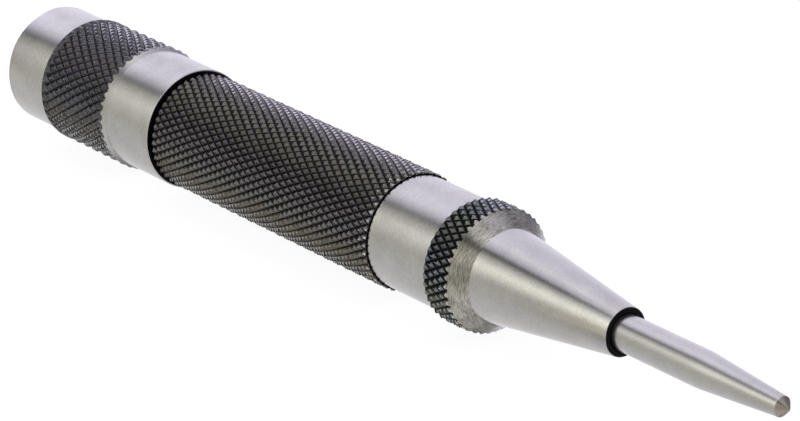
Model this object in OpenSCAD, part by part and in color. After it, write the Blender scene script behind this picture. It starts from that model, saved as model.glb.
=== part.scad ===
// Automatic centre punch. Pressing the point against the work lifts a hammer against a spring until a
// sliding trip block comes into line with a pin and lets the hammer fall on the punch.
// The tool lies along X with its point towards +X, and its widest band touches Z = 0.
// Each piece is drawn about an upright axis, from the cap's rear end at 0 up to the point, then laid down.

/* [Cap] */
// Length of the adjusting cap
cap_length = 28.56; // [26:0.01:34]
// Diameter of the plain band at the rear end of the cap
cap_rear_band_d = 14; // [13:0.01:14.6]
// Length of the plain rear band
cap_rear_band_length = 7.6; // [5:0.1:9]
// Radius of the rounded rear edge
cap_edge_radius = 0.25; // [0.2:0.05:2]
// Diameter over the knurl of the cap
cap_knurl_d = 14.84; // [14.2:0.01:16]
// Length of the cap's knurl
cap_knurl_length = 12.45; // [8:0.05:15]
// Diameter of the plain band at the front end of the cap
cap_front_band_d = 14.06; // [13:0.01:14.6]
// Thickness of the closed rear end
cap_end_thickness = 5; // [3:0.1:8]
// Diameter of the thread that the cap turns on
cap_thread_d = 11.1; // [10:0.1:12]
// Gap between the cap and the shoulder of the barrel
cap_gap = 0.6; // [0.4:0.05:2]
// Thickness of the seat that carries the main spring inside the cap
seat_thickness = 1.5; // [1:0.1:3]

/* [Barrel] */
// Diameter over the knurl of the barrel
barrel_knurl_d = 13.66; // [13:0.01:15]
// Length of the barrel's knurl
barrel_knurl_length = 39.46; // [34:0.01:46]
// Diameter of the plain band in front of the knurl
barrel_band_d = 12.86; // [12.2:0.01:13.4]
// Length of the plain band
barrel_band_length = 10; // [7:0.1:14]
// Bore that guides the hammer
hammer_bore_d = 8.4; // [7.8:0.1:9]

/* [Nose] */
// Diameter over the knurled collar
collar_d = 14.16; // [13.4:0.01:15]
// Length of the knurled collar
collar_length = 3.54; // [2.5:0.01:6]
// Length of the bevel in front of the collar
bevel_length = 1.98; // [1:0.01:3]
// Diameter of the cone where the bevel ends
cone_base_d = 10.48; // [9.6:0.01:12]
// Length of the cone
cone_length = 18.68; // [16:0.01:24]
// Diameter of the cone at the mouth
mouth_d = 5.42; // [5:0.01:6.5]
// Length of the narrow guide behind the mouth
mouth_guide_length = 16.82; // [12:0.01:19]
// Length of the threaded end inside the barrel
nose_spigot_length = 12.62; // [8:0.01:15]

/* [Punch] */
// Diameter of the punch
punch_d = 4; // [3:0.1:4.6]
// Length of punch that stands out of the mouth
punch_reach = 24.18; // [18:0.01:32]
// Length of the slim taper behind the point
taper_length = 11.08; // [5:0.01:15]
// Diameter at the end of the taper
taper_end_d = 2.24; // [1.4:0.01:3]
// Angle of the ground point
point_angle = 90; // [60:1:120]
// Diameter of the shank held in the plunger
shank_d = 3; // [2:0.1:3.6]
// Length of the shank
shank_length = 8; // [5:0.1:9]
// Diameter of the plunger
plunger_d = 6.7; // [5.8:0.1:7.2]
// Length of the plunger
plunger_length = 14; // [13:0.1:17]
// Diameter of the trip pin
pin_d = 2.4; // [1.8:0.1:2.6]
// Length of pin held in the plunger
pin_grip = 4; // [2:0.1:5]

/* [Hammer] */
// Length of the hammer
hammer_length = 30; // [27:0.1:34]
// Diameter of the pocket for the return spring
spring_pocket_d = 5.2; // [4.6:0.1:6]
// Depth of the pocket for the return spring
spring_pocket_depth = 6; // [4:0.1:8]
// Length of pin hole between that pocket and the slot
guide_length = 6; // [4:0.1:8]
// Length of the cross slot along the hammer
slot_length = 4; // [3:0.1:5]
// Width of the cross slot
slot_width = 4; // [3.4:0.1:5]
// Depth of the pin hole behind the slot
relief_depth = 7; // [6:0.1:9]
// Wall that closes the slot on one side
slot_wall = 0.85; // [0.5:0.05:1.2]

/* [Trip block] */
// Travel of the punch up to the blow
stroke = 10; // [8:0.1:12]
// Distance of the block from the middle while it holds the pin
trip_shift = 1; // [0.8:0.05:1.1]
// Diameter of the blind hole for the trip spring
trip_pocket_d = 1.8; // [1.4:0.1:2.4]
// Depth of the blind hole for the trip spring
trip_pocket_depth = 1.2; // [0.8:0.05:1.4]

/* [Springs] */
// Wire of the main spring
main_wire_d = 1.2; // [0.8:0.05:1.4]
// Turns of the main spring
main_turns = 10; // [6:0.5:11]
// Wire of the return spring
return_wire_d = 0.5; // [0.3:0.05:0.6]
// Turns of the return spring
return_turns = 8; // [4:0.5:9]
// Wire of the trip spring
trip_wire_d = 0.2; // [0.1:0.02:0.3]
// Turns of the trip spring
trip_turns = 3; // [2:0.5:3.5]

/* [Fits] */
// Radial clearance of the sliding pieces
slide_clearance = 0.05; // [0.02:0.01:0.1]
// Radial clearance of the screw threads
thread_clearance = 0.05; // [0.02:0.01:0.1]
// Radial clearance of the pieces pressed into the plunger
press_clearance = 0.01; // [0:0.005:0.02]
// Radial clearance of the pin in the trip block and the hammer
pin_clearance = 0.1; // [0.05:0.01:0.15]
// Radial clearance round a spring
spring_clearance = 0.2; // [0.1:0.05:0.3]
// Room left to screw the cap further in
cap_room = 0.3; // [0.1:0.05:0.35]

/* [Hidden] */
$fn = 96;

// Looks
bright_steel = "#c3c0bb";
blackened_steel = "#3c3b3f";
plain_steel = "#8d8f93";
spring_steel = "#6b6d73";

// Small bevels, and how far a cut runs past a face
edge_break = 0.3;
pin_bevel = 0.15;
cut = 1;
// How deep a knurled band reaches into its core
knurl_root = 0.6;
// Points along a rounded edge, sides of a spring's wire and sections in one of its turns
arc_steps = 8;
wire_sides = 6;
rings_per_turn = 8;

// Stations along the axis, from the rear end to the point
seat_front = cap_end_thickness + seat_thickness;
barrel_rear = seat_front + cap_room;
cap_knurl_front = cap_rear_band_length + cap_knurl_length;
barrel_shoulder = cap_length + cap_gap;
barrel_knurl_front = barrel_shoulder + barrel_knurl_length;
barrel_front = barrel_knurl_front + barrel_band_length;
spigot_rear = barrel_front - nose_spigot_length;
collar_front = barrel_front + collar_length;
cone_base = collar_front + bevel_length;
mouth = cone_base + cone_length;
tool_length = mouth + punch_reach;
plunger_front = mouth - mouth_guide_length;
plunger_rear = plunger_front - plunger_length;
hammer_front = spigot_rear;
hammer_rear = hammer_front - hammer_length;
pocket_floor = hammer_front - spring_pocket_depth;
slot_front = pocket_floor - guide_length;
slot_rear = slot_front - slot_length;
slot_middle = (slot_front + slot_rear) / 2;
pin_tip = slot_front;
point_base = tool_length - taper_end_d / 2 / tan(point_angle / 2);
taper_base = point_base - taper_length;

// Fitted diameters
cap_bore_d = cap_thread_d + 2 * thread_clearance;
seat_d = cap_bore_d - 4 * slide_clearance;
hammer_d = hammer_bore_d - 2 * slide_clearance;
front_bore_d = hammer_bore_d + 2 * trip_shift;
spigot_d = front_bore_d - 2 * thread_clearance;
collar_core_d = collar_d - 2 * knurl_root;
plunger_bore_d = plunger_d + 2 * slide_clearance;
punch_bore_d = punch_d + 2 * slide_clearance;
pin_hole_d = pin_d + 2 * pin_clearance;
trip_d = hammer_d - 2 * slide_clearance;
main_coil_d = hammer_bore_d - 2 * spring_clearance - main_wire_d;
return_coil_d = spring_pocket_d - 2 * spring_clearance - return_wire_d;
trip_coil_d = trip_pocket_d - spring_clearance - trip_wire_d;

// Taper of the barrel that brings the trip block to the middle over one stroke
taper_slope = trip_shift / stroke;
trip_reach = trip_d / 2 + trip_shift + slide_clearance;
bore_taper_rear = slot_rear - (trip_reach - hammer_bore_d / 2) / taper_slope;
bore_taper_front = bore_taper_rear + stroke;

// The slot ends in a wall on one side, and the block stops just short of it
slot_end = hammer_d / 2 - slot_wall;
trip_end = slot_end - 2 * slide_clearance;
trip_spring_length = slot_end - trip_end + trip_shift + trip_pocket_depth;

axis_height = max(cap_knurl_d, cap_rear_band_d, cap_front_band_d, barrel_knurl_d, collar_d) / 2;

// Lays a piece drawn about the upright axis down along X
module lay_down() {
    translate([-tool_length / 2, 0, axis_height])
        rotate([0, 90, 0])
            children();
}

// A straight round bar between two stations
module rod(d, from, to) {
    translate([0, 0, from])
        cylinder(d = d, h = to - from);
}

// A bar that tapers between two stations
module tapered_rod(d_from, d_to, from, to) {
    translate([0, 0, from])
        cylinder(d1 = d_from, d2 = d_to, h = to - from);
}

// A round bar with both ends bevelled
module bevelled_rod(d, from, to, bevel) {
    rod(d, from + bevel, to - bevel);
    tapered_rod(d - 2 * bevel, d, from, from + bevel);
    tapered_rod(d, d - 2 * bevel, to - bevel, to);
}

// A knurled band round a core, at the height of its teeth
module knurled_band(d, core_d, from, to) {
    color(blackened_steel)
        difference() {
            rod(d, from, to);
            rod(core_d - 2 * knurl_root, from - cut, to + cut);
        }
}

function coil_centre(d, turns, length, t) =
    [d / 2 * cos(360 * turns * t), d / 2 * sin(360 * turns * t), length * t];

// One section of the wire, square to its run
function coil_ring(d, turns, length, wire_d, t) =
    let (
        angle = 360 * turns * t,
        climb = atan2(length, PI * d * turns),
        outward = [cos(angle), sin(angle), 0],
        upward = [sin(climb) * sin(angle), -sin(climb) * cos(angle), cos(climb)]
    )
    [for (side = [0 : wire_sides - 1])
        coil_centre(d, turns, length, t)
            + wire_d / 2 * (cos(360 * side / wire_sides) * outward + sin(360 * side / wire_sides) * upward)];

// Least distance between turns of a coil, less its wire
function coil_gap(d, turns, length, wire_d) =
    let (
        last = round(turns * rings_per_turn),
        half_turn = floor(rings_per_turn / 2),
        run = [for (i = [0 : last]) coil_centre(d, turns, length, i / last)]
    )
    min([for (i = [0 : last - half_turn]) for (j = [i + half_turn : last]) norm(run[i] - run[j])]) - wire_d;

// A coil spring of one unbroken wire that fills a length from 0 upwards
module coil(d, turns, length, wire_d) {
    run = length - wire_d;
    last = round(turns * rings_per_turn);
    points = [for (i = [0 : last]) each coil_ring(d, turns, run, wire_d, i / last)];
    sides = [
        for (i = [0 : last - 1])
            for (j = [0 : wire_sides - 1])
                let (
                    a = i * wire_sides + j,
                    b = i * wire_sides + (j + 1) % wire_sides
                )
                each [[a, b, b + wire_sides], [a, b + wire_sides, a + wire_sides]]
    ];
    first_end = [for (j = [1 : wire_sides - 2]) [0, j + 1, j]];
    tip = last * wire_sides;
    last_end = [for (j = [1 : wire_sides - 2]) [tip, tip + j, tip + j + 1]];
    translate([0, 0, wire_d / 2])
        polyhedron(points, concat(sides, first_end, last_end));
}

module adjusting_cap() {
    rear_r = cap_rear_band_d / 2;
    rounded_edge = [for (i = [0 : arc_steps])
        [
            rear_r - cap_edge_radius + cap_edge_radius * sin(90 * i / arc_steps),
            cap_edge_radius - cap_edge_radius * cos(90 * i / arc_steps)
        ]];
    outline = concat(
        [[0, 0]],
        rounded_edge,
        [
            [rear_r, cap_rear_band_length],
            [cap_front_band_d / 2, cap_knurl_front],
            [cap_front_band_d / 2, cap_length - edge_break],
            [cap_front_band_d / 2 - edge_break, cap_length],
            [0, cap_length]
        ]
    );
    lay_down() {
        color(bright_steel)
            difference() {
                rotate_extrude()
                    polygon(outline);
                rod(cap_bore_d, cap_end_thickness, cap_length + cut);
            }
        knurled_band(
            cap_knurl_d, min(cap_rear_band_d, cap_front_band_d), cap_rear_band_length, cap_knurl_front
        );
    }
}

module spring_seat() {
    lay_down()
        color(plain_steel)
            bevelled_rod(seat_d, cap_end_thickness, seat_front, edge_break);
}

module main_spring() {
    lay_down()
        color(spring_steel)
            translate([0, 0, seat_front])
                coil(main_coil_d, main_turns, hammer_rear - seat_front, main_wire_d);
}

module barrel() {
    lay_down()
        difference() {
            union() {
                color(bright_steel) {
                    rod(cap_thread_d, barrel_rear, barrel_knurl_front);
                    rod(barrel_band_d, barrel_shoulder, barrel_front);
                }
                knurled_band(barrel_knurl_d, barrel_band_d, barrel_shoulder, barrel_knurl_front);
            }
            color(plain_steel) {
                rod(hammer_bore_d, barrel_rear - cut, bore_taper_front);
                tapered_rod(hammer_bore_d, front_bore_d, bore_taper_rear, bore_taper_front);
                rod(front_bore_d, bore_taper_front, barrel_front + cut);
            }
        }
}

module hammer() {
    lay_down()
        color(plain_steel)
            difference() {
                bevelled_rod(hammer_d, hammer_rear, hammer_front, edge_break);
                rod(spring_pocket_d, pocket_floor, hammer_front + cut);
                rod(pin_hole_d, slot_rear - relief_depth, pocket_floor + cut);
                translate([-slot_width / 2, -slot_end, slot_rear])
                    cube([slot_width, slot_end + hammer_d, slot_length]);
            }
}

module trip_block() {
    width = slot_width - 2 * slide_clearance;
    length = slot_length - 2 * slide_clearance;
    lay_down()
        color(bright_steel)
            translate([0, trip_shift, slot_middle])
                difference() {
                    intersection() {
                        translate([-width / 2, -trip_end, -length / 2])
                            cube([width, trip_end + trip_d, length]);
                        cylinder(d = trip_d, h = slot_length, center = true);
                    }
                    cylinder(d = pin_hole_d, h = slot_length, center = true);
                    translate([0, -trip_end, 0])
                        rotate([90, 0, 0])
                            cylinder(d = trip_pocket_d, h = 2 * trip_pocket_depth, center = true);
                }
}

module trip_spring() {
    lay_down()
        color(spring_steel)
            translate([0, -slot_end, slot_middle])
                rotate([-90, 0, 0])
                    coil(trip_coil_d, trip_turns, trip_spring_length, trip_wire_d);
}

module nose_piece() {
    outline = [
        [0, spigot_rear],
        [spigot_d / 2 - edge_break, spigot_rear],
        [spigot_d / 2, spigot_rear + edge_break],
        [spigot_d / 2, barrel_front],
        [collar_core_d / 2, barrel_front],
        [collar_core_d / 2, collar_front],
        [collar_d / 2, collar_front],
        [cone_base_d / 2, cone_base],
        [mouth_d / 2, mouth],
        [0, mouth]
    ];
    lay_down() {
        color(bright_steel)
            difference() {
                rotate_extrude()
                    polygon(outline);
                rod(plunger_bore_d, spigot_rear - cut, plunger_front);
                rod(punch_bore_d, plunger_front - cut, mouth + cut);
            }
        knurled_band(collar_d, collar_core_d, barrel_front, collar_front);
    }
}

module return_spring() {
    lay_down()
        color(spring_steel)
            translate([0, 0, pocket_floor])
                coil(return_coil_d, return_turns, plunger_rear - pocket_floor, return_wire_d);
}

module trip_pin() {
    lay_down()
        color(plain_steel)
            bevelled_rod(pin_d, pin_tip, plunger_rear + pin_grip, pin_bevel);
}

module plunger() {
    lay_down()
        color(plain_steel)
            difference() {
                bevelled_rod(plunger_d, plunger_rear, plunger_front, edge_break);
                rod(pin_d + 2 * press_clearance, plunger_rear - cut, plunger_rear + pin_grip);
                rod(shank_d + 2 * press_clearance, plunger_front - shank_length, plunger_front + cut);
            }
}

module punch_point() {
    lay_down()
        color(bright_steel) {
            rod(shank_d, plunger_front - shank_length, plunger_front);
            rod(punch_d, plunger_front, taper_base);
            tapered_rod(punch_d, taper_end_d, taper_base, point_base);
            tapered_rod(taper_end_d, 0, point_base, tool_length);
        }
}

adjusting_cap();
spring_seat();
main_spring();
barrel();
hammer();
trip_block();
trip_spring();
nose_piece();
return_spring();
trip_pin();
plunger();
punch_point();

main_spring_rise = hammer_rear - seat_front - main_wire_d;
echo(main_spring_gap = coil_gap(main_coil_d, main_turns, main_spring_rise, main_wire_d));
echo(return_spring_gap =
    coil_gap(return_coil_d, return_turns, plunger_rear - pocket_floor - return_wire_d, return_wire_d));
echo(trip_spring_gap = coil_gap(trip_coil_d, trip_turns, trip_spring_length - trip_wire_d, trip_wire_d));
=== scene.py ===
import math
import random
from collections import namedtuple

import bmesh
import bpy
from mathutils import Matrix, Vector


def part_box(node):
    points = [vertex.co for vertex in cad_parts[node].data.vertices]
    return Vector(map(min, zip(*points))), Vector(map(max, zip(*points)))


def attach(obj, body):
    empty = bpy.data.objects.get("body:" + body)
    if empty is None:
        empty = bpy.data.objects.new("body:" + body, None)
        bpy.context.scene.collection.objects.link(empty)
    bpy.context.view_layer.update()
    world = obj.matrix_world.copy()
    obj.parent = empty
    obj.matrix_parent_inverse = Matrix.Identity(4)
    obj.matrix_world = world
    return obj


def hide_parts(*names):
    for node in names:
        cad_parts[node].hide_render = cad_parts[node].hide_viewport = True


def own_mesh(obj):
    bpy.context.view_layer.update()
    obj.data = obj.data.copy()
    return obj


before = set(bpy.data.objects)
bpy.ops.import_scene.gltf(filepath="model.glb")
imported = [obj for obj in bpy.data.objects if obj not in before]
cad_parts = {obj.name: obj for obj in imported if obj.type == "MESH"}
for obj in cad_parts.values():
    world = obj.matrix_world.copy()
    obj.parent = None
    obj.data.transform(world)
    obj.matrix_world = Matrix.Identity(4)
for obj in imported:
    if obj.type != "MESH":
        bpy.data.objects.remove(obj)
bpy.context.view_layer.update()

# An automatic centre punch that lies along X with its point towards +X.
# Stations are millimetres from the rear end of the cap, and radii are millimetres from the axis.
MM = 0.001
CAP_LOW, CAP_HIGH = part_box("adjusting_cap")
REAR_X = CAP_LOW.x
AXIS_Z = (CAP_LOW.z + CAP_HIGH.z) / 2

# The cap
CAP_REAR_R = 7.0
CAP_REAR_EDGE = 0.25
CAP_KNURL_REAR = 7.6
CAP_KNURL_FRONT = 20.35
CAP_CHAMFER = 0.6
CAP_KNURL_R = 7.42
CAP_FRONT_R = 7.03
CAP_FRONT = 28.56
CAP_FLOOR = 5.0
CAP_BORE_R = 5.6

# The barrel
BARREL_REAR = 6.8
BARREL_SHOULDER = 29.16
BARREL_KNURL_FRONT = 68.5
BARREL_KNURL_R = 6.83
BARREL_BAND_R = 6.43
BARREL_FRONT = 78.62
HAMMER_BORE_R = 4.2
BORE_TAPER_REAR = 40.5
BORE_TAPER_FRONT = 50.5
FRONT_BORE_R = 5.2

# The thread that the cap runs on
THREAD_CREST_R = 5.55
THREAD_ROOT_R = 5.05
THREAD_PITCH = 25.4 / 28
THREAD_REAR = 7.4
THREAD_FRONT = 28.2

# The nose
SPIGOT_REAR = 66.0
SPIGOT_R = 5.15
COLLAR_FRONT = 82.16
COLLAR_R = 7.08
CONE_BASE = 84.14
CONE_BASE_R = 5.24
MOUTH = 102.82
MOUTH_R = 2.71
PLUNGER_BORE_R = 3.4
PLUNGER_FRONT = 86.0
PUNCH_BORE_R = 2.05

# The punch
SHANK_REAR = 78.0
SHANK_R = 1.5
PUNCH_R = 2.0
TAPER_BASE = 114.8
POINT_BASE = 125.88
POINT_BASE_R = 1.12
POINT_TIP = 127.0
POINT_FLAT_R = 0.04

# Where the springs stand
SEAT_FRONT = 6.5
HAMMER_REAR = 36.0
HAMMER_POCKET = 60.0
PLUNGER_REAR = 72.0
SLOT_MIDDLE = 52.0
SLOT_WALL_Y = -3.3
TRIP_POCKET_Y = -1.0

# A spring: mean radius of its turns, diameter of its wire and number of turns
Spring = namedtuple("Spring", "mean_r wire turns")
MAIN_SPRING = Spring(mean_r=3.4, wire=1.2, turns=10)
RETURN_SPRING = Spring(mean_r=2.15, wire=0.5, turns=8)
TRIP_SPRING = Spring(mean_r=0.7, wire=0.2, turns=3)
# The main spring stops this far short of the hammer, so that the cap can be screwed further in
CAP_ROOM = 0.3

# A knurl: teeth round the band, length of a tooth along the axis, radius of the tips, depth of the
# grooves, and the section of a groove as pairs of share of a tooth and share of the depth
Knurl = namedtuple("Knurl", "teeth length peak depth groove")
ROUNDED_TEETH = [(0, 1), (0.1, 0.75), (0.3, 0.25), (0.42, 0.06), (0.5, 0)]
POINTED_TEETH = [(0, 1), (0.05, 0.88), (0.5, 0)]
CAP_KNURL = Knurl(teeth=41, length=1.796, peak=CAP_KNURL_R, depth=0.31, groove=ROUNDED_TEETH)
BARREL_KNURL = Knurl(teeth=44, length=1.77, peak=BARREL_KNURL_R, depth=0.36, groove=POINTED_TEETH)
COLLAR_KNURL = Knurl(teeth=44, length=1.77, peak=COLLAR_R, depth=0.35, groove=POINTED_TEETH)
# A knurled band is turned this much too large, so that cutting its grooves leaves no turned face
KNURL_ALLOWANCE = 0.03
# How far teeth fall short of the tips, as a share of the depth
UNEVEN_TEETH = 0.14
# How far teeth lean to either side, as a share of a tooth
LEANING_TEETH = 0.07
# Rows that a cutter reaches past its band, and the thickness of its wall
KNURL_OVERRUN = 2
CUTTER_WALL = 0.6

# Facets round a turned piece, points along a rounded corner, and the angle that stays a sharp edge
ROUND_STEPS = 256
EASE_STEPS = 5
SHARP_ANGLE = math.radians(28)


class Field:
    """A value that varies over a surface, for use in expressions."""

    def __init__(self, paint, socket):
        self.paint = paint
        self.socket = socket

    def other(self, output):
        """Another output of the node that this value comes from."""
        return Field(self.paint, self.socket.node.outputs[output])

    def maths(self, operation, *values):
        return self.paint.maths(operation, self, *values)

    def __add__(self, value):
        return self.maths("ADD", value)

    def __radd__(self, value):
        return self.paint.maths("ADD", value, self)

    def __sub__(self, value):
        return self.maths("SUBTRACT", value)

    def __mul__(self, value):
        return self.maths("MULTIPLY", value)

    def __rmul__(self, value):
        return self.paint.maths("MULTIPLY", value, self)

    def __truediv__(self, value):
        return self.maths("DIVIDE", value)

    def __pow__(self, value):
        return self.maths("POWER", value)


class Paint:
    """Builds the nodes of one material or of the world."""

    def __init__(self, tree):
        self.tree = tree
        tree.nodes.clear()

    def node(self, kind, settings=None, sockets=None, output=0):
        """Adds a node, sets it up, feeds its sockets and gives one of its outputs."""
        made = self.tree.nodes.new(kind)
        for key, value in (settings or {}).items():
            if key == "stops":
                self.set_stops(made.color_ramp, value)
            else:
                setattr(made, key, value)
        for key, value in (sockets or {}).items():
            self.feed(made.inputs[key], value)
        return Field(self, made.outputs[output]) if made.outputs else made

    def feed(self, socket, value):
        if isinstance(value, Field):
            self.tree.links.new(value.socket, socket)
        else:
            socket.default_value = value

    def set_stops(self, ramp, stops):
        """Stops of a colour ramp, as pairs of place and colour."""
        while len(ramp.elements) < len(stops):
            ramp.elements.new(1.0)
        for element, (place, stop_colour) in zip(ramp.elements, stops):
            element.position = place
            element.color = stop_colour

    def maths(self, operation, *values):
        return self.node("ShaderNodeMath", {"operation": operation}, dict(enumerate(values)))

    def blend(self, share, low, high):
        """A colour between two colours."""
        sockets = {0: share, 6: low, 7: high}
        return self.node("ShaderNodeMix", {"data_type": "RGBA"}, sockets, output=2)

    def span(self, value, low, high):
        """How far a value has come from low to high, eased at both ends."""
        sockets = {"Value": value, "From Min": low, "From Max": high}
        return self.node("ShaderNodeMapRange", {"interpolation_type": "SMOOTHSTEP"}, sockets)

    def place(self):
        """The point of the piece, in metres, in the frame at rest."""
        return self.node("ShaderNodeTexCoord", output="Object")

    def radius(self):
        """The distance from the axis of the tool, in millimetres."""
        y = self.node("ShaderNodeSeparateXYZ", sockets={"Vector": self.place()}, output="Y")
        height = y.other("Z") - AXIS_Z
        return (y * y + height * height) ** 0.5 / MM

    def station(self):
        """The distance from the rear end of the tool, in millimetres."""
        x = self.node("ShaderNodeSeparateXYZ", sockets={"Vector": self.place()}, output="X")
        return (x - REAR_X) / MM

    def noise(self, size, stretch=(1, 1, 1), detail=2.0):
        """Noise whose grains measure about a size in millimetres, stretched along X, Y and Z."""
        scales = tuple(1 / (size * MM * by) for by in stretch)
        settings = {"operation": "MULTIPLY"}
        spread = self.node("ShaderNodeVectorMath", settings, {0: self.place(), 1: scales})
        sockets = {"Vector": spread, "Scale": 1.0, "Detail": detail}
        return self.node("ShaderNodeTexNoise", {}, sockets)

    def rings(self, width, stretch):
        """Noise in rings round the axis, each a width in millimetres and stretched along its ring."""
        radius = self.radius()
        y = self.node("ShaderNodeSeparateXYZ", sockets={"Vector": self.place()}, output="Y")
        around = BARREL_BAND_R / (width * stretch * MM)
        sockets = {
            "X": (self.station() - radius) / width,
            "Y": y / radius * around,
            "Z": (y.other("Z") - AXIS_Z) / radius * around,
        }
        spread = self.node("ShaderNodeCombineXYZ", {}, sockets)
        return self.node("ShaderNodeTexNoise", {}, {"Vector": spread, "Scale": 1.0, "Detail": 3.0})

    def bump(self, height, depth):
        """A normal roughened by a height, whose full range is a depth in millimetres."""
        return self.node("ShaderNodeBump", {}, {"Distance": depth * MM, "Height": height})

    def shader(self, **sockets):
        """A shader from its sockets."""
        named = {SOCKETS[key]: value for key, value in sockets.items()}
        return self.node("ShaderNodeBsdfPrincipled", {}, named)

    def surface(self, shader):
        """Makes a shader the surface of the material."""
        self.node("ShaderNodeOutputMaterial", {}, {"Surface": shader})


SOCKETS = {
    "colour": "Base Color",
    "metal": "Metallic",
    "rough": "Roughness",
    "ior": "IOR",
    "tint": "Specular Tint",
    "normal": "Normal",
}


def new_finish(name):
    material = bpy.data.materials.new(name)
    material.use_nodes = True
    return material, Paint(material.node_tree)


def colour(red, green, blue):
    return red, green, blue, 1.0


def turned_steel(name, dark, light, grain, run, depth, rough):
    """Bright steel with fine marks that run round the axis, each some times longer than its width."""
    cloud_size = 2.4
    cloud_share = 0.3
    uneven_shine = 0.10
    material, paint = new_finish(name)
    marks = paint.rings(grain, run)
    clouds = paint.noise(cloud_size)
    tone = paint.span((1 - cloud_share) * marks + cloud_share * clouds, 0.25, 0.75)
    paint.surface(paint.shader(
        colour=paint.blend(tone, dark, light),
        metal=1.0,
        rough=rough + uneven_shine * marks,
        normal=paint.bump(marks, depth),
    ))
    return material


def blackened_steel(name, knurl, shaded_below, rough, ior, tint, edge, wear):
    """Blackened knurling: glossy, grainy teeth with bare specks on their tips, more of them towards a
    worn front edge, and grooves that are painted shade below a share of their depth: matt, nearly black
    and barely reflecting."""
    patch_size = 0.7
    speck_size = 0.09
    grain_size = 0.22
    grain_depth = 0.035
    worn_width = 2.5
    tip_low = 0.06
    tip_high = 0.01
    uneven_shine = 0.12
    ragged = 0.05
    fading = 0.33
    material, paint = new_finish(name)
    patches = paint.noise(patch_size, detail=3.0)
    specks = paint.noise(speck_size, detail=2.0)
    grain = paint.noise(grain_size, detail=2.0)
    radius = paint.radius()
    worn = wear * paint.span(paint.station(), edge - worn_width, edge)
    tip = paint.span(radius + worn, knurl.peak - tip_low, knurl.peak - tip_high)
    bare = tip * paint.span(specks + 0.5 * patches + worn, 0.80, 0.94)
    oxide = paint.blend(patches, colour(0.002, 0.002, 0.003), colour(0.008, 0.007, 0.006))
    teeth = paint.shader(
        colour=paint.blend(bare, oxide, colour(0.72, 0.69, 0.64)),
        metal=bare,
        rough=rough + uneven_shine * specks,
        ior=ior,
        tint=tint,
        normal=paint.bump(grain, grain_depth),
    )
    # Painted shade for the hollows: a matt, nearly black finish that barely reflects, for the bottoms
    # of the grooves
    grooves = paint.shader(
        colour=paint.blend(patches, colour(0.001, 0.001, 0.001), colour(0.005, 0.005, 0.004)),
        rough=0.55,
        ior=1.2,
    )
    # Below these radii the grooves are painted as shade instead of showing the teeth's glossy oxide
    lowest = knurl.peak - (shaded_below + fading) * knurl.depth
    highest = knurl.peak - shaded_below * knurl.depth
    height = paint.span(radius + ragged * specks, lowest, highest)
    paint.surface(paint.node("ShaderNodeMixShader", {}, {0: height, 1: grooves, 2: teeth}))
    return material


def blue_black(name):
    """End faces blackened all over, with faint turning marks."""
    material, paint = new_finish(name)
    marks = paint.rings(width=0.1, stretch=12)
    paint.surface(paint.shader(
        colour=paint.blend(marks, colour(0.001, 0.001, 0.002), colour(0.004, 0.004, 0.007)),
        rough=0.5 + 0.15 * marks,
        ior=1.25,
        normal=paint.bump(marks, depth=0.003),
    ))
    return material


def drawn_wire(name):
    """Spring wire, dark, with streaks from drawing."""
    material, paint = new_finish(name)
    streaks = paint.noise(size=0.2, stretch=(1, 6, 6), detail=3.0)
    paint.surface(paint.shader(
        colour=paint.blend(streaks, colour(0.10, 0.105, 0.12), colour(0.26, 0.26, 0.27)),
        metal=1.0,
        rough=0.3 + 0.15 * streaks,
        normal=paint.bump(streaks, depth=0.004),
    ))
    return material


def threaded_steel(name):
    """A thread with a bright crest and a root painted dark, as painted shade in the groove of the
    thread.
    """
    shaded_root_depth = 0.20
    ragged = 0.08
    material, paint = new_finish(name)
    marks = paint.rings(width=0.08, stretch=16)
    # Painted shade: the thread is painted darker towards its root
    height = paint.span(paint.radius() + ragged * marks, THREAD_ROOT_R + shaded_root_depth, THREAD_CREST_R)
    paint.surface(paint.shader(
        colour=paint.blend(height, colour(0.035, 0.032, 0.028), colour(0.62, 0.61, 0.60)),
        metal=1.0,
        rough=0.22 + 0.15 * marks,
        normal=paint.bump(marks, depth=0.002),
    ))
    return material


BRIGHT = turned_steel(
    "bright_steel",
    dark=colour(0.55, 0.535, 0.53),
    light=colour(0.74, 0.725, 0.72),
    grain=0.06,
    run=8,
    depth=0.0006,
    rough=0.20,
)
FINE = turned_steel(
    "fine_steel",
    dark=colour(0.55, 0.535, 0.53),
    light=colour(0.74, 0.725, 0.72),
    grain=0.06,
    run=8,
    depth=0.0006,
    rough=0.12,
)
FACED = turned_steel(
    "faced_steel",
    dark=colour(0.06, 0.05, 0.035),
    light=colour(0.82, 0.79, 0.73),
    grain=0.055,
    run=12,
    depth=0.008,
    rough=0.12,
)
GROUND = turned_steel(
    "ground_steel",
    dark=colour(0.23, 0.195, 0.155),
    light=colour(0.56, 0.51, 0.45),
    grain=0.05,
    run=8,
    depth=0.004,
    rough=0.24,
)
PLAIN = turned_steel(
    "plain_steel",
    dark=colour(0.34, 0.34, 0.35),
    light=colour(0.52, 0.52, 0.53),
    grain=0.08,
    run=16,
    depth=0.002,
    rough=0.30,
)
WIRE = drawn_wire("spring_wire")
THREADED = threaded_steel("threaded_steel")
BLACK_END = blue_black("black_end")
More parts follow.
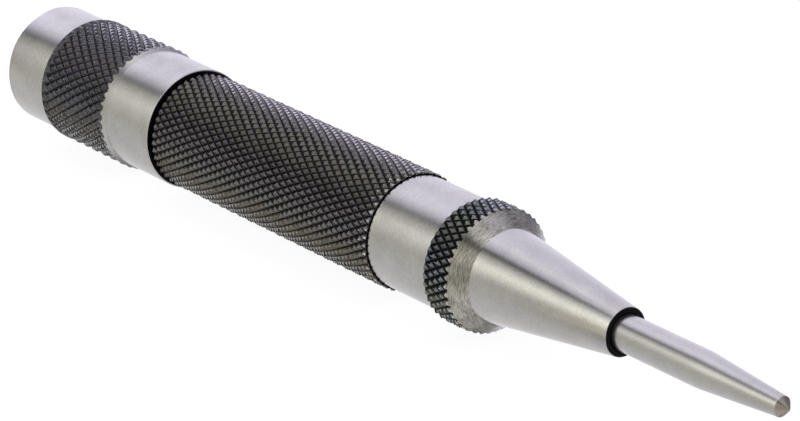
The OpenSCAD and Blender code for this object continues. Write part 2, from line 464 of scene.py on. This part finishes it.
# In each blackened finish the grooves are painted as shade below the given share of their depth
CAP_BLACK = blackened_steel(
    "cap_black",
    CAP_KNURL,
    shaded_below=0.62,
    rough=0.15,
    ior=1.83,
    tint=colour(0.89, 0.865, 1.0),
    edge=CAP_KNURL_FRONT,
    wear=0.02,
)
BARREL_BLACK = blackened_steel(
    "barrel_black",
    BARREL_KNURL,
    shaded_below=0.58,
    rough=0.12,
    ior=2.0,
    tint=colour(1.0, 0.95, 0.95),
    edge=BARREL_KNURL_FRONT,
    wear=0.14,
)
COLLAR_BLACK = blackened_steel(
    "collar_black",
    COLLAR_KNURL,
    shaded_below=0.46,
    rough=0.10,
    ior=2.3,
    tint=colour(0.82, 0.93, 1.0),
    edge=COLLAR_FRONT,
    wear=0.06,
)

# A corner of an outline, the finish of the face that leads up to it, and how far it is rounded
Corner = namedtuple("Corner", "station radius finish ease", defaults=(BRIGHT, 0))


def at(station, radius, angle):
    """A point of the frame, from a station, a radius and an angle from +Y towards +Z."""
    return Vector((
        REAR_X + station * MM,
        radius * MM * math.cos(angle),
        AXIS_Z + radius * MM * math.sin(angle),
    ))


def eased(corners, closed):
    """An outline with its corners rounded by a curve from edge to edge."""
    outline = []
    last = len(corners) - 1
    for index, corner in enumerate(corners):
        at_end = not closed and index in (0, last)
        if not corner.ease or at_end:
            outline.append(corner)
            continue
        here = Vector((corner.station, corner.radius))
        before = corners[index - 1]
        after = corners[(index + 1) % len(corners)]
        start = (Vector((before.station, before.radius)) - here).normalized() * corner.ease
        end = (Vector((after.station, after.radius)) - here).normalized() * corner.ease
        for step in range(EASE_STEPS + 1):
            share = step / EASE_STEPS
            point = here + start * (1 - share) ** 2 + end * share ** 2
            outline.append(Corner(point.x, point.y, corner.finish))
    return outline


def smooth(piece, faceted=None):
    """Shades a piece smooth, apart from its sharp edges and any faces of a faceted finish."""
    mesh = piece.data
    for face in mesh.polygons:
        face.use_smooth = mesh.materials[face.material_index] != faceted
    mesh.set_sharp_from_angle(angle=SHARP_ANGLE)
    mesh.update()


def new_piece(name, points, faces, finishes, picks=None):
    """A mesh object, with the finish of each face picked from a list."""
    mesh = bpy.data.meshes.new(name)
    mesh.from_pydata(points, [], faces)
    for finish in finishes:
        mesh.materials.append(finish)
    if picks:
        mesh.polygons.foreach_set("material_index", picks)
    piece = bpy.data.objects.new(name, mesh)
    bpy.context.scene.collection.objects.link(piece)
    smooth(piece)
    return piece


def turned(name, corners, finishes, closed=False):
    """A piece turned about the axis, from an outline that ends on the axis or is closed."""
    outline = eased(corners, closed)
    points = []
    rings = []
    for corner in outline:
        count = ROUND_STEPS if corner.radius > 0 else 1
        first = len(points)
        rings.append([first + step % count for step in range(ROUND_STEPS)])
        angles = [2 * math.pi * step / count for step in range(count)]
        points += [at(corner.station, corner.radius, angle) for angle in angles]
    faces = []
    picks = []
    for index in range(len(outline) if closed else len(outline) - 1):
        after = (index + 1) % len(outline)
        here, there = rings[index], rings[after]
        for step in range(ROUND_STEPS):
            beside = (step + 1) % ROUND_STEPS
            ring = [here[step], here[beside], there[beside], there[step]]
            faces.append(list(dict.fromkeys(ring)))
            picks.append(finishes.index(outline[after].finish))
    return new_piece(name, points, faces, finishes, picks)


def knurl_cutter(knurl, rear, front, finish, fade):
    """A tube whose inside is covered in diamonds, to be cut from a turned piece.
    Two families of grooves cross, one climbing to the left and the other to the right."""
    draw = random.Random(knurl.teeth)
    # The section from one groove to the next: the half that is given, and its mirror image
    shares = [share for share, drop in knurl.groove]
    drops = [drop for share, drop in knurl.groove]
    mirrored = [index for index in range(len(shares) - 1, 0, -1) if shares[index] < 0.5]
    places = shares + [1 - shares[index] for index in mirrored]
    falls = drops + [drops[index] for index in mirrored]
    count = len(places)
    first_row = math.floor(2 * rear / knurl.length) - KNURL_OVERRUN
    last_row = math.ceil(2 * front / knurl.length) + KNURL_OVERRUN
    last_row += (last_row - first_row) % 2
    points = []
    indices = {}
    flaws = {}

    def flaw(tooth):
        """How far a tooth is worn down, and how far it leans towards each groove."""
        if tooth not in flaws:
            leans = [draw.uniform(-LEANING_TEETH, LEANING_TEETH) for groove in range(2)]
            flaws[tooth] = [UNEVEN_TEETH * draw.random()] + leans
        return flaws[tooth]

    def corner(left, right, across, along):
        """The index of one point of the diamond between two grooves."""
        left, across = left + across // count, across % count
        right, along = right + along // count, along % count
        tooth = (left % knurl.teeth, left - right)
        key = tooth + (across, along)
        if key not in indices:
            indices[key] = len(points)
            wear, lean_left, lean_right = flaw(tooth)
            drop = max(falls[across], falls[along])
            climb = left + places[across] + lean_left * (1 - drop)
            descent = right + places[along] + lean_right * (1 - drop)
            station = knurl.length * (climb - descent) / 2
            drop += (1 - drop) * wear
            radius = knurl.peak - knurl.depth * drop * fade(station)
            points.append(at(station, radius, math.pi * (climb + descent) / knurl.teeth))
        return indices[key]

    faces = []
    for row in range(first_row, last_row + 1):
        for left in range(knurl.teeth):
            for across in range(count):
                for along in range(count):
                    a = corner(left, left - row, across, along)
                    b = corner(left, left - row, across, along + 1)
                    c = corner(left, left - row, across + 1, along + 1)
                    d = corner(left, left - row, across + 1, along)
                    if across + along == count - 1:
                        faces += [(a, b, d), (b, c, d)]
                    else:
                        faces += [(a, b, c), (a, c, d)]
    cutter = new_piece("cutter", points, faces, [finish])
    close_tube(cutter, knurl.peak + CUTTER_WALL)
    return cutter


def close_tube(piece, wall):
    """Gives an open tube its ends and its other wall, at a radius."""
    made = bmesh.new()
    made.from_mesh(piece.data)
    rims = [edge for edge in made.edges if edge.is_boundary]
    grown = bmesh.ops.extrude_edge_only(made, edges=rims)["geom"]
    for vertex in grown:
        if isinstance(vertex, bmesh.types.BMVert):
            angle = math.atan2(vertex.co.z - AXIS_Z, vertex.co.y)
            vertex.co = at((vertex.co.x - REAR_X) / MM, wall, angle)
    rims = [edge for edge in made.edges if edge.is_boundary]
    bmesh.ops.bridge_loops(made, edges=rims)
    bmesh.ops.recalc_face_normals(made, faces=made.faces)
    made.to_mesh(piece.data)
    made.free()


def full_depth(station):
    """Grooves that don't run out."""
    return 1


def cut_knurl(piece, knurl, rear, front, finish, fade=full_depth, faceted=None):
    """Cuts a knurl into a band of a turned piece."""
    cutter = knurl_cutter(knurl, rear, front, finish, fade)
    cut = piece.modifiers.new("cut", "BOOLEAN")
    cut.operation = "DIFFERENCE"
    cut.solver = "MANIFOLD"
    cut.object = cutter
    shown = piece.evaluated_get(bpy.context.evaluated_depsgraph_get())
    mesh = bpy.data.meshes.new_from_object(shown)
    piece.modifiers.clear()
    piece.data = mesh
    bpy.data.objects.remove(cutter)
    smooth(piece, faceted)


def make_cap():
    """The cap, with its knurl between two plain bands."""
    top = CAP_KNURL_R + KNURL_ALLOWANCE
    rear_chamfer = 0.14
    corners = [
        Corner(0, 0),
        Corner(0, CAP_REAR_R, FINE, ease=CAP_REAR_EDGE),
        Corner(CAP_KNURL_REAR, CAP_REAR_R),
        Corner(CAP_KNURL_REAR, top - rear_chamfer, CAP_BLACK),
        Corner(CAP_KNURL_REAR + rear_chamfer, top, CAP_BLACK),
        Corner(CAP_KNURL_FRONT - CAP_CHAMFER, top, CAP_BLACK),
        Corner(CAP_KNURL_FRONT, CAP_FRONT_R, BRIGHT),
        Corner(CAP_FRONT, CAP_FRONT_R, BRIGHT, ease=0.12),
        Corner(CAP_FRONT, CAP_BORE_R, BLACK_END, ease=0.3),
        Corner(CAP_FLOOR, CAP_BORE_R, PLAIN),
        Corner(CAP_FLOOR, 0, PLAIN),
    ]
    cap = turned("cap", corners, [BRIGHT, FINE, CAP_BLACK, BLACK_END, PLAIN])
    rear_fade = 0.7
    rear_depth = 0.1
    front_fade = 1.5
    front_depth = 0.5

    def fade(station):
        """The grooves run out at the rear edge, and grow shallower towards the front edge."""
        from_rear = max((station - CAP_KNURL_REAR) / rear_fade, rear_depth)
        to_front = front_depth + (CAP_KNURL_FRONT - CAP_CHAMFER - station) / front_fade
        return min(from_rear, max(to_front, front_depth), 1)

    cut_knurl(cap, CAP_KNURL, CAP_KNURL_REAR, CAP_KNURL_FRONT, CAP_BLACK, fade)
    return cap


def make_barrel():
    """The barrel, with its long knurl, its plain front band and its bores."""
    top = BARREL_KNURL_R + KNURL_ALLOWANCE
    rear_chamfer = 0.2
    front_chamfer = 0.05
    black_ring = 0.16
    corners = [
        Corner(BARREL_REAR, HAMMER_BORE_R, PLAIN, ease=0.2),
        Corner(BARREL_REAR, THREAD_ROOT_R, PLAIN, ease=0.2),
        Corner(BARREL_SHOULDER, THREAD_ROOT_R, THREADED),
        Corner(BARREL_SHOULDER, top - rear_chamfer, BLACK_END),
        Corner(BARREL_SHOULDER + rear_chamfer, top, BLACK_END),
        Corner(BARREL_KNURL_FRONT - front_chamfer, top, BARREL_BLACK),
        Corner(BARREL_KNURL_FRONT, top - front_chamfer, FACED),
        Corner(BARREL_KNURL_FRONT, BARREL_BAND_R, BLACK_END),
        Corner(BARREL_KNURL_FRONT + black_ring, BARREL_BAND_R, BLACK_END),
        Corner(BARREL_FRONT, BARREL_BAND_R, BRIGHT, ease=0.1),
        Corner(BARREL_FRONT, FRONT_BORE_R, PLAIN),
        Corner(BORE_TAPER_FRONT, FRONT_BORE_R, PLAIN),
        Corner(BORE_TAPER_REAR, HAMMER_BORE_R, PLAIN),
    ]
    finishes = [BRIGHT, FACED, BARREL_BLACK, BLACK_END, PLAIN, THREADED]
    barrel = turned("barrel_tube", corners, finishes, closed=True)
    rim = 0.25
    rim_depth = 0.75

    def fade(station):
        """The grooves grow shallower towards the front edge."""
        return 1 - (1 - rim_depth) * min(max((station - BARREL_KNURL_FRONT) / rim + 1, 0), 1)

    ends = (BARREL_SHOULDER, BARREL_KNURL_FRONT)
    cut_knurl(barrel, BARREL_KNURL, *ends, BARREL_BLACK, fade, faceted=BARREL_BLACK)
    return barrel


def make_nose():
    """The nose: a knurled collar, a bevel that cuts across its teeth, and a cone with a black mouth."""
    top = COLLAR_R + KNURL_ALLOWANCE
    slope = (COLLAR_R - CONE_BASE_R) / (CONE_BASE - COLLAR_FRONT)
    rear_chamfer = 0.25
    burr = 0.2
    corners = [
        Corner(SPIGOT_REAR, PLUNGER_BORE_R, PLAIN, ease=0.2),
        Corner(SPIGOT_REAR, SPIGOT_R, PLAIN, ease=0.3),
        Corner(BARREL_FRONT, SPIGOT_R, PLAIN),
        Corner(BARREL_FRONT, top - rear_chamfer, COLLAR_BLACK),
        Corner(BARREL_FRONT + rear_chamfer, top, COLLAR_BLACK),
        Corner(COLLAR_FRONT - KNURL_ALLOWANCE / slope, top, COLLAR_BLACK),
        Corner(COLLAR_FRONT + burr, COLLAR_R - slope * burr, BRIGHT),
        Corner(CONE_BASE, CONE_BASE_R, FACED),
        Corner(MOUTH, MOUTH_R, FINE, ease=0.06),
        Corner(MOUTH, PUNCH_BORE_R, BLACK_END, ease=0.12),
        Corner(PLUNGER_FRONT, PUNCH_BORE_R, BLACK_END),
        Corner(PLUNGER_FRONT, PLUNGER_BORE_R, PLAIN),
    ]
    finishes = [BRIGHT, FINE, FACED, COLLAR_BLACK, BLACK_END, PLAIN]
    nose = turned("nose_cone", corners, finishes, closed=True)
    cut_knurl(nose, COLLAR_KNURL, BARREL_FRONT, COLLAR_FRONT, COLLAR_BLACK, faceted=COLLAR_BLACK)
    return nose


def make_punch():
    """The punch, with its shank, its slim taper and its ground point."""
    corners = [
        Corner(SHANK_REAR, 0),
        Corner(SHANK_REAR, SHANK_R, PLAIN, ease=0.2),
        Corner(PLUNGER_FRONT, SHANK_R, PLAIN),
        Corner(PLUNGER_FRONT, PUNCH_R, PLAIN, ease=0.15),
        Corner(TAPER_BASE, PUNCH_R, BRIGHT, ease=0.8),
        Corner(POINT_BASE, POINT_BASE_R, BRIGHT, ease=0.06),
        Corner(POINT_TIP - POINT_FLAT_R, POINT_FLAT_R, GROUND),
        Corner(POINT_TIP, 0, GROUND),
    ]
    return turned("punch_rod", corners, [BRIGHT, GROUND, PLAIN])


def wound(name, rings, finish):
    """A piece swept along a winding path, from rings of points."""
    sides = len(rings[0])
    points = [point for ring in rings for point in ring]
    faces = []
    for index in range(len(rings) - 1):
        for side in range(sides):
            a = index * sides + side
            b = index * sides + (side + 1) % sides
            faces.append((a, a + sides, b + sides, b))
    faces.append(tuple(range(sides)))
    faces.append(tuple(reversed(range(len(points) - sides, len(points)))))
    piece = new_piece(name, points, faces, [finish])
    made = bmesh.new()
    made.from_mesh(piece.data)
    bmesh.ops.recalc_face_normals(made, faces=made.faces)
    made.to_mesh(piece.data)
    made.free()
    return piece


def make_thread():
    """The ridge of the thread on the rear end of the barrel, running out at both ends."""
    steps_in_turn = 72
    run_out = 24
    half_base = 0.46 * THREAD_PITCH
    half_crest = 0.06 * THREAD_PITCH
    foot_depth = 0.15
    foot = THREAD_ROOT_R - foot_depth
    turns = (THREAD_FRONT - THREAD_REAR) / THREAD_PITCH
    steps = int(turns * steps_in_turn)
    rings = []
    for step in range(steps + 1):
        angle = 2 * math.pi * turns * step / steps
        station = THREAD_REAR + (THREAD_FRONT - THREAD_REAR) * step / steps
        rise = min(1, step / run_out, (steps - step) / run_out)
        crest = THREAD_ROOT_R + (THREAD_CREST_R - THREAD_ROOT_R) * rise
        rings.append([
            at(station - half_base, foot, angle),
            at(station - half_crest, crest, angle),
            at(station + half_crest, crest, angle),
            at(station + half_base, foot, angle),
        ])
    return wound("barrel_thread", rings, THREADED)


def across_slot(along, radius, angle):
    """A point about a line through the hammer's slot, along Y."""
    return Vector((
        REAR_X + (SLOT_MIDDLE + radius * math.cos(angle)) * MM,
        along * MM,
        AXIS_Z + radius * math.sin(angle) * MM,
    ))


def make_spring(name, start, end, spring, point=at):
    """A spring of one round wire, wound closer at both ends."""
    steps_in_turn = 40
    sides = 14
    closing = 0.45
    steps = spring.turns * steps_in_turn
    wire_r = spring.wire / 2
    bends = [2 * math.pi * side / sides for side in range(sides)]
    rings = []
    for step in range(steps + 1):
        share = step / steps
        rise = share - closing * math.sin(2 * math.pi * share) / (2 * math.pi)
        middle = start + wire_r + (end - start - spring.wire) * rise
        angle = 2 * math.pi * spring.turns * share
        ring = []
        for bend in bends:
            along = middle + wire_r * math.sin(bend)
            radius = spring.mean_r + wire_r * math.cos(bend)
            ring.append(point(along, radius, angle))
        rings.append(ring)
    return wound(name, rings, WIRE)


def make_floor():
    """A white floor that keeps a soft shadow. Shiny pieces see the light of the tent through it."""
    half = 3.0
    paper_colour = colour(0.86, 0.86, 0.86)
    white_level = 1.11
    white_share = 0.85
    points = [(-half, -half, 0), (half, -half, 0), (half, half, 0), (-half, half, 0)]
    material, paint = new_finish("white_floor")
    camera = paint.node("ShaderNodeLightPath", output="Is Camera Ray")
    paper = paint.node("ShaderNodeBsdfDiffuse", {}, {"Color": paper_colour})
    white = paint.node("ShaderNodeEmission", {}, {"Color": colour(1, 1, 1), "Strength": white_level})
    shown = white_share * (camera + camera.other("Is Transmission Ray"))
    lit = paint.node("ShaderNodeMixShader", {}, {0: shown, 1: paper, 2: white})
    under = paint.node("ShaderNodeNewGeometry", output="Backfacing")
    seen_through = under.maths("MAXIMUM", camera.other("Is Glossy Ray"))
    clear = paint.node("ShaderNodeBsdfTransparent")
    both = paint.node("ShaderNodeMixShader", {}, {0: seen_through, 1: lit, 2: clear})
    paint.node("ShaderNodeOutputMaterial", {}, {"Surface": both})
    new_piece("floor", points, [(0, 1, 2, 3)], [material])


# Tints of the light
COOL = (1.0, 0.985, 1.12)
NEUTRAL = (1.0, 1.0, 1.0)
PALE = (1.01, 1.0, 0.96)
WARM = (1.015, 1.0, 0.91)
TEAL = (0.98, 1.0, 1.04)
LILAC = (1.09, 1.0, 1.26)
STRAW = (1.10, 1.0, 0.72)

# The light from the rear: angles round the axis in degrees from +Y towards +Z, levels and tints
REAR_LIGHT = [
    (0, 1.0, COOL),
    (25, 0.95, COOL),
    (50, 0.86, COOL),
    (89, 0.97, COOL),
    (106, 0.60, COOL),
    (117, 0.02, NEUTRAL),
    (127, 0.45, WARM),
    (148, 0.80, WARM),
    (184, 0.50, WARM),
    (215, 0.56, PALE),
    (250, 0.63, NEUTRAL),
    (290, 0.76, NEUTRAL),
    (320, 0.98, COOL),
]
# The light from abreast of the tool, which the sides of the knurls' teeth mirror
SIDE_LIGHT = [
    (0, 0.25, LILAC),
    (45, 0.36, LILAC),
    (75, 0.48, LILAC),
    (92, 0.75, LILAC),
    (108, 1.35, TEAL),
    (128, 1.50, TEAL),
    (150, 1.25, WARM),
    (170, 1.20, STRAW),
    (186, 0.75, STRAW),
    (200, 0.30, STRAW),
    (218, 0.06, STRAW),
    (250, 0.10, NEUTRAL),
    (300, 0.32, NEUTRAL),
]
# The light from the front, which faces that look forwards mirror
FRONT_LIGHT = [
    (0, 0.24, COOL),
    (40, 0.40, COOL),
    (65, 0.62, COOL),
    (92, 0.92, NEUTRAL),
    (108, 0.55, NEUTRAL),
    (119, 0.02, NEUTRAL),
    (129, 0.35, WARM),
    (150, 0.74, WARM),
    (178, 0.44, WARM),
    (215, 0.66, PALE),
    (265, 0.74, NEUTRAL),
    (300, 0.62, NEUTRAL),
]
# The light from straight behind the rear end
END_LIGHT = [
    (0, 2.40, LILAC),
    (40, 2.30, LILAC),
    (66, 1.70, LILAC),
    (90, 0.35, LILAC),
    (112, 0.01, NEUTRAL),
    (180, 0.01, NEUTRAL),
    (196, 0.40, STRAW),
    (215, 0.90, STRAW),
    (250, 1.10, PALE),
    (300, 1.40, NEUTRAL),
]
# The spans where one light gives way to another, by the X of a direction
REAR_TO_FRONT = (-0.9, 0.3)
INTO_SIDE = (-0.40, -0.28)
OUT_OF_SIDE = (-0.12, 0.04)
WALLS_TO_END = (-0.85, -0.92)
# Below the tool, the side light lies further back: where that begins and ends, in shares of a turn,
# and how far back it lies
INTO_BELOW = (0.50, 0.54)
OUT_OF_BELOW = (0.80, 0.86)
BELOW_SHIFT = 0.07
# A brighter patch in the light, above the near side: its direction, how much it adds, and the span of
# the cosine of the angle from it
SOFT_PATCH = Vector((-0.45, -0.763, 0.458))
SOFT_PATCH_LEVEL = 0.4
SOFT_PATCH_SPAN = (0.93, 1.0)


def stops_of(levels):
    """The stops of a ramp for light round the axis, which ends as it begins."""
    stops = []
    for degrees, level, tint in levels:
        stops.append((degrees / 360, colour(*(level * part for part in tint))))
    return stops + [(1.0, stops[0][1])]


def make_light():
    """A tent of soft light round the tool, with a dark gap overhead and a dimmer end at the front."""
    world = bpy.data.worlds.new("light_tent")
    bpy.context.scene.world = world
    world.use_nodes = True
    paint = Paint(world.node_tree)
    direction = paint.node("ShaderNodeTexCoord", output="Generated")
    x = paint.node("ShaderNodeSeparateXYZ", {}, {"Vector": direction}, output="X")
    turn = (x.other("Z").maths("ARCTAN2", x.other("Y")) / (2 * math.pi)).maths("FRACT")

    def round_axis(levels):
        """The light in a direction, by its angle round the axis."""
        return paint.node("ShaderNodeValToRGB", {"stops": stops_of(levels)}, {0: turn})

    rear = round_axis(REAR_LIGHT)
    front = round_axis(FRONT_LIGHT)
    side = round_axis(SIDE_LIGHT)
    end = round_axis(END_LIGHT)
    length = paint.blend(paint.span(x, *REAR_TO_FRONT), rear, front)
    below = paint.span(turn, *INTO_BELOW) - paint.span(turn, *OUT_OF_BELOW)
    across = x + BELOW_SHIFT * below
    abreast = paint.span(across, *INTO_SIDE) - paint.span(across, *OUT_OF_SIDE)
    walls = paint.blend(abreast, length, side)
    tent = paint.blend(paint.span(x, *WALLS_TO_END), walls, end)
    sockets = {0: direction, 1: SOFT_PATCH}
    aimed = paint.node("ShaderNodeVectorMath", {"operation": "DOT_PRODUCT"}, sockets, "Value")
    level = 1 + SOFT_PATCH_LEVEL * paint.span(aimed, *SOFT_PATCH_SPAN)
    glow = paint.node("ShaderNodeBackground", {}, {"Color": tent, "Strength": level})
    white = paint.node("ShaderNodeBackground", {}, {"Color": colour(1, 1, 1)})
    camera = paint.node("ShaderNodeLightPath", output="Is Camera Ray")
    both = paint.node("ShaderNodeMixShader", {}, {0: camera, 1: glow, 2: white})
    paint.node("ShaderNodeOutputWorld", {}, {"Surface": both})


def make_camera():
    """The camera at the photograph's viewing angle."""
    aim = Vector((-0.00088, 0.0027, 0.0074))
    distance = 0.4432
    azimuth = math.radians(51.694)
    elevation = math.radians(21.786)
    back = Vector((
        math.sin(azimuth) * math.cos(elevation),
        -math.cos(azimuth) * math.cos(elevation),
        math.sin(elevation),
    ))
    lens = bpy.data.cameras.new("camera")
    lens.sensor_fit = "HORIZONTAL"
    lens.sensor_width = 36
    lens.lens = 183.457
    lens.clip_start = 0.01
    camera = bpy.data.objects.new("camera", lens)
    bpy.context.scene.collection.objects.link(camera)
    camera.location = aim + back * distance
    camera.rotation_euler = back.to_track_quat("Z", "Y").to_euler()
    bpy.context.scene.camera = camera


def carry(piece, body, slot, *nodes):
    """Sets a piece on its body, in place of the nodes that it stands for."""
    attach(piece, body)
    if nodes:
        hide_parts(*nodes)


def dress(node, finish):
    """Gives a node that is kept as it is a finish."""
    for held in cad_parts[node].material_slots:
        held.material = finish


carry(make_cap(), "cap", "bright_steel", "adjusting_cap")
carry(make_barrel(), "barrel", "blackened_steel", "barrel")
carry(make_thread(), "barrel", "plain_steel")
carry(make_nose(), "barrel", "bright_steel", "nose_piece")
carry(make_punch(), "punch", "bright_steel", "punch_point")

main_front = HAMMER_REAR - CAP_ROOM
main_coil = make_spring("main_coil", SEAT_FRONT, main_front, MAIN_SPRING)
carry(main_coil, "seat", "spring_steel", "main_spring")
at(SEAT_FRONT, 0, 0)
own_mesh(main_coil)

return_coil = make_spring("return_coil", HAMMER_POCKET, PLUNGER_REAR, RETURN_SPRING)
carry(return_coil, "punch", "spring_steel", "return_spring")

trip_coil = make_spring("trip_coil", SLOT_WALL_Y, TRIP_POCKET_Y, TRIP_SPRING, across_slot)
carry(trip_coil, "hammer", "spring_steel", "trip_spring")
across_slot(SLOT_WALL_Y, 0, 0)
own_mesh(trip_coil)

for node in ("spring_seat", "hammer", "trip_block", "trip_pin", "plunger"):
    dress(node, PLAIN)

make_floor()
make_light()
make_camera()
bpy.context.scene.view_settings.view_transform = "Standard"
